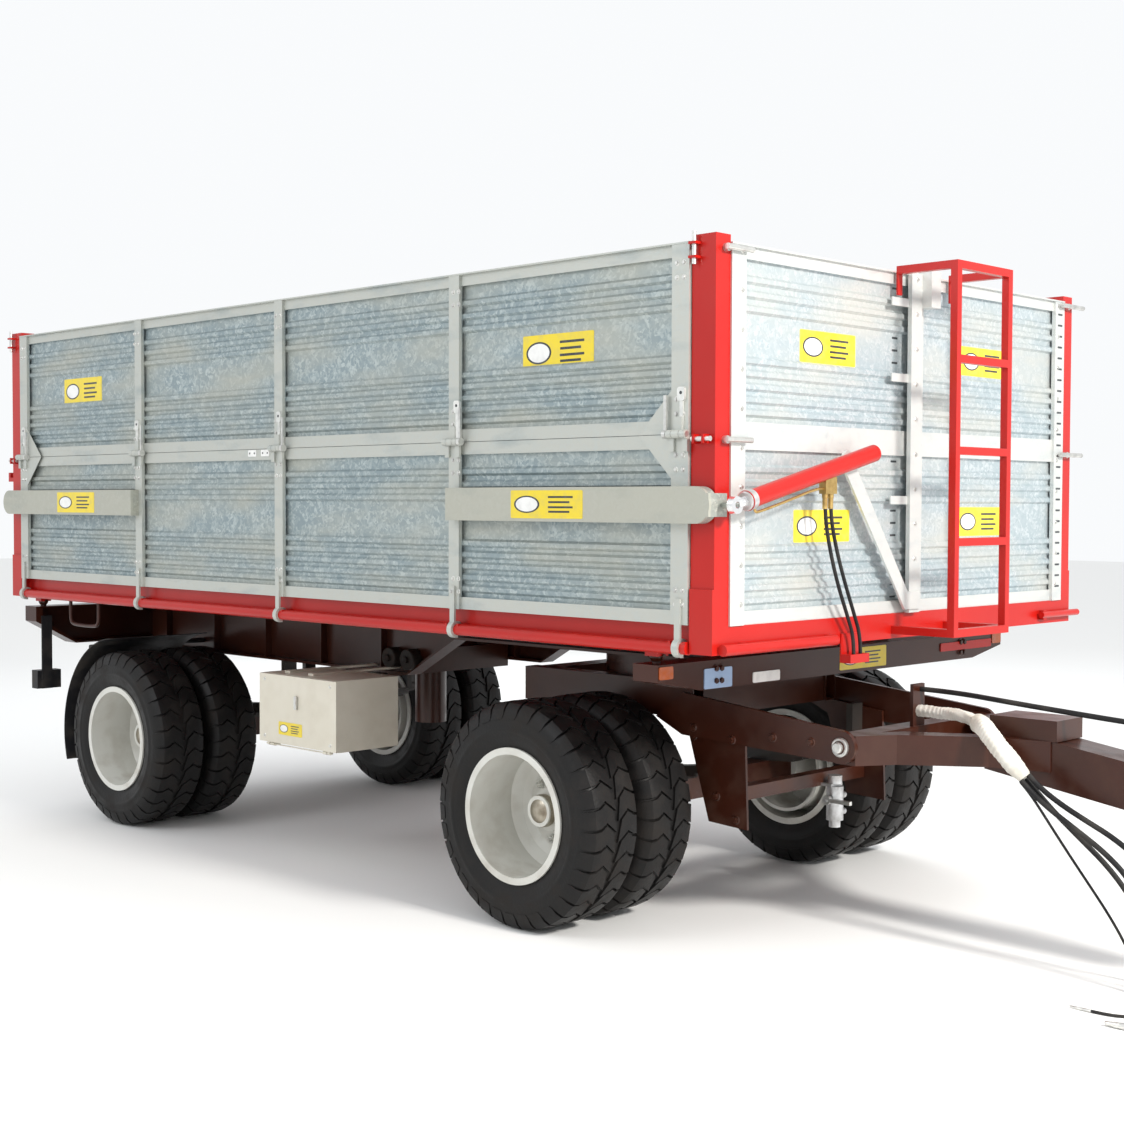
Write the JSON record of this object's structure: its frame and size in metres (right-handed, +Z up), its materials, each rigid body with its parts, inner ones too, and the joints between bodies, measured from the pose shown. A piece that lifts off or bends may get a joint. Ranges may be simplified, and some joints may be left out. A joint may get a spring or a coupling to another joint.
{
  "type": "tipping farm trailer",
  "caption": "Twin-tyre two-axle tipping farm trailer with steered front bogie, high galvanised drop sides, side-opening cylinder, front ladder, tool box and hose set.",
  "frame": {"origin": "on the ground, below the middle of the trailer's box, free hoses left out", "axes": "+X forward to the tow eye, +Y to the left, +Z up"},
  "size_m": [6.632, 2.584, 2.593],
  "materials": {
    "galvanised_sheet": "matte galvanised zinc spangle",
    "red_paint": "semi gloss",
    "brown_paint": "semi gloss",
    "tyre_rubber": "matte",
    "rim_paint": "semi gloss",
    "white_box_paint": "satin",
    "floor_steel": "worn",
    "zinc_pins": "bright zinc",
    "chromed_rod": "polished",
    "valve_brass": "satin",
    "valve_alloy": "cast",
    "hose_rubber": "matte",
    "sleeve_cloth": "woven",
    "black_rubber": "matte",
    "spring_steel": "matte",
    "cast_coupling": "cast",
    "lamp_housing": "moulded",
    "coupling_steel": "turned"
  },
  "bodies": {
    "chassis": {"chassis_side_beams": "brown_paint", "chassis_cross_members": "brown_paint", "chassis_bolsters": "brown_paint", "turntable_upper_ring": "brown_paint", "rear_axle": "brown_paint", "rear_leaf_springs": "spring_steel", "tool_box": "white_box_paint", "rear_mudguards": "black_rubber", "rear_lamps": "lamp_housing"},
    "bogie": {"bogie_frame": "brown_paint", "turntable_lower_ring": "brown_paint", "front_axle": "brown_paint", "front_leaf_springs": "spring_steel", "brake_valve": "valve_alloy"},
    "brake_lever": {"brake_valve_lever": "valve_alloy"},
    "drawbar": {"drawbar_frame": "brown_paint", "tow_eye": "cast_coupling", "hose_sleeve": "sleeve_cloth", "supply_hose_1": "hose_rubber", "supply_hose_2": "hose_rubber", "supply_hose_3": "hose_rubber", "lighting_cable": "hose_rubber", "brake_hose": "hose_rubber", "hose_couplings": "coupling_steel"},
    "platform": {"platform_frame": "red_paint", "hinge_tubes": "red_paint", "platform_floor": "floor_steel", "corner_posts": "red_paint", "post_pins": "zinc_pins", "front_wall": "galvanised_sheet", "ladder": "red_paint", "cylinder_bracket": "galvanised_sheet"},
    "ram_barrel": {"ram_barrel": "brown_paint"},
    "ram_middle": {"ram_middle_stage": "chromed_rod"},
    "ram_inner": {"ram_inner_stage": "chromed_rod"},
    "right_lower": {"right_lower_board": "galvanised_sheet", "lifting_arms": "galvanised_sheet"},
    "right_upper": {"right_upper_board": "galvanised_sheet"},
    "right_levers": {"right_lock_levers": "zinc_pins"},
    "left_lower": {"left_lower_board": "galvanised_sheet"},
    "left_upper": {"left_upper_board": "galvanised_sheet"},
    "left_levers": {"left_lock_levers": "zinc_pins"},
    "rear_lower": {"rear_lower_board": "galvanised_sheet"},
    "rear_upper": {"rear_upper_board": "galvanised_sheet"},
    "rear_levers": {"rear_lock_levers": "zinc_pins"},
    "side_cylinder": {"cylinder_barrel": "red_paint", "cylinder_valve": "valve_brass", "cylinder_hose_right": "hose_rubber", "cylinder_hose_left": "hose_rubber"},
    "side_cylinder_rod": {"cylinder_rod": "chromed_rod"},
    "tool_box_lid": {"tool_box_lid": "white_box_paint"},
    "tool_box_latch": {"tool_box_latch": "zinc_pins"},
    "front_right_wheels": {"front_right_tyres": "tyre_rubber", "front_right_wheels": "rim_paint"},
    "front_left_wheels": {"front_left_tyres": "tyre_rubber", "front_left_wheels": "rim_paint"},
    "rear_right_wheels": {"rear_right_tyres": "tyre_rubber", "rear_right_wheels": "rim_paint"},
    "rear_left_wheels": {"rear_left_tyres": "tyre_rubber", "rear_left_wheels": "rim_paint"}
  },
  "joints": [
    {"name": "steering", "type": "hinge", "parent": "chassis", "child": "bogie", "pos_m": [0.686, 0, 0.99], "axis": [0, 0, 1], "range_deg": [-45, 45]},
    {"name": "drawbar_pitch", "type": "hinge", "parent": "bogie", "child": "drawbar", "pos_m": [1.769, 0, 0.765], "axis": [0, -1, 0], "range_deg": [-20, 15]},
    {"name": "brake_lever_turn", "type": "hinge", "parent": "bogie", "child": "brake_lever", "pos_m": [1.249, 0.133, 0.42], "axis": [0, -1, 0], "range_deg": [0, 70]},
    {"name": "front_right_wheel_spin", "type": "hinge", "parent": "bogie", "child": "front_right_wheels", "pos_m": [0.686, -0.877, 0.4475], "axis": [0, 1, 0], "continuous": true},
    {"name": "front_left_wheel_spin", "type": "hinge", "parent": "bogie", "child": "front_left_wheels", "pos_m": [0.686, 0.877, 0.4475], "axis": [0, 1, 0], "continuous": true},
    {"name": "rear_right_wheel_spin", "type": "hinge", "parent": "chassis", "child": "rear_right_wheels", "pos_m": [-2.276, -0.877, 0.4475], "axis": [0, 1, 0], "continuous": true},
    {"name": "rear_left_wheel_spin", "type": "hinge", "parent": "chassis", "child": "rear_left_wheels", "pos_m": [-2.276, 0.877, 0.4475], "axis": [0, 1, 0], "continuous": true},
    {"name": "platform_tip", "type": "hinge", "parent": "chassis", "child": "platform", "pos_m": [-0.846, -1.12, 1.12], "axis": [1, 0, 0], "range_deg": [0, 40]},
    {"name": "ram_lean", "type": "hinge", "parent": "chassis", "child": "ram_barrel", "pos_m": [-1.146, 0, 0.87], "axis": [1, 0, 0], "range_deg": [0, 14.84]},
    {"name": "ram_stage_1", "type": "slide", "parent": "ram_barrel", "child": "ram_middle", "axis": [0, 0, 1], "range_m": [0, 0.3781]},
    {"name": "ram_stage_2", "type": "slide", "parent": "ram_middle", "child": "ram_inner", "axis": [0, 0, 1], "range_m": [0, 0.3781]},
    {"name": "right_lower_board_drop", "type": "hinge", "parent": "platform", "child": "right_lower", "pos_m": [-0.731, -1.24, 1.168], "axis": [1, 0, 0], "range_deg": [0, 90]},
    {"name": "right_upper_board_fold", "type": "hinge", "parent": "right_lower", "child": "right_upper", "pos_m": [-0.731, -1.262, 1.906], "axis": [1, 0, 0], "range_deg": [0, 100]},
    {"name": "right_lock_levers_turn", "type": "hinge", "parent": "right_upper", "child": "right_levers", "pos_m": [-0.731, -1.262, 1.906], "axis": [1, 0, 0], "range_deg": [0, 70]},
    {"name": "left_lower_board_drop", "type": "hinge", "parent": "platform", "child": "left_lower", "pos_m": [-0.731, 1.24, 1.168], "axis": [-1, 0, 0], "range_deg": [0, 90]},
    {"name": "left_upper_board_fold", "type": "hinge", "parent": "left_lower", "child": "left_upper", "pos_m": [-0.731, 1.262, 1.906], "axis": [-1, 0, 0], "range_deg": [0, 100]},
    {"name": "left_lock_levers_turn", "type": "hinge", "parent": "left_upper", "child": "left_levers", "pos_m": [-0.731, 1.262, 1.906], "axis": [-1, 0, 0], "range_deg": [0, 70]},
    {"name": "rear_lower_board_drop", "type": "hinge", "parent": "platform", "child": "rear_lower", "pos_m": [-3.221, 0, 1.168], "axis": [0, -1, 0], "range_deg": [0, 90]},
    {"name": "rear_upper_board_fold", "type": "hinge", "parent": "rear_lower", "child": "rear_upper", "pos_m": [-3.243, 0, 1.906], "axis": [0, -1, 0], "range_deg": [0, 100]},
    {"name": "rear_lock_levers_turn", "type": "hinge", "parent": "rear_upper", "child": "rear_levers", "pos_m": [-3.243, 0, 1.906], "axis": [0, -1, 0], "range_deg": [0, 70]},
    {"name": "cylinder_swing", "type": "hinge", "parent": "platform", "child": "side_cylinder", "pos_m": [1.826, -0.51, 1.83], "axis": [1, 0, 0], "range_deg": [0, 14.16]},
    {"name": "cylinder_stroke", "type": "slide", "parent": "side_cylinder", "child": "side_cylinder_rod", "axis": [0, -0.9731, -0.2305], "range_m": [0, 0.6564]},
    {"name": "tool_box_lid_drop", "type": "hinge", "parent": "chassis", "child": "tool_box_lid", "pos_m": [-0.856, -1.049, 0.537], "axis": [1, 0, 0], "range_deg": [0, 110]},
    {"name": "tool_box_latch_turn", "type": "hinge", "parent": "tool_box_lid", "child": "tool_box_latch", "pos_m": [-0.8555, -1.055, 0.747], "axis": [0, 1, 0], "range_deg": [0, 90]}
  ],
  "couplings": [
    {"joint": "ram_lean", "follows": "platform_tip", "ratio": 0.37067},
    {"joint": "ram_stage_1", "follows": "platform_tip", "m_per_rad": 0.54132},
    {"joint": "ram_stage_2", "follows": "platform_tip", "m_per_rad": 0.54132},
    {"joint": "cylinder_swing", "follows": "right_lower_board_drop", "ratio": 0.1572},
    {"joint": "cylinder_stroke", "follows": "right_lower_board_drop", "m_per_rad": 0.41776}
  ]
}
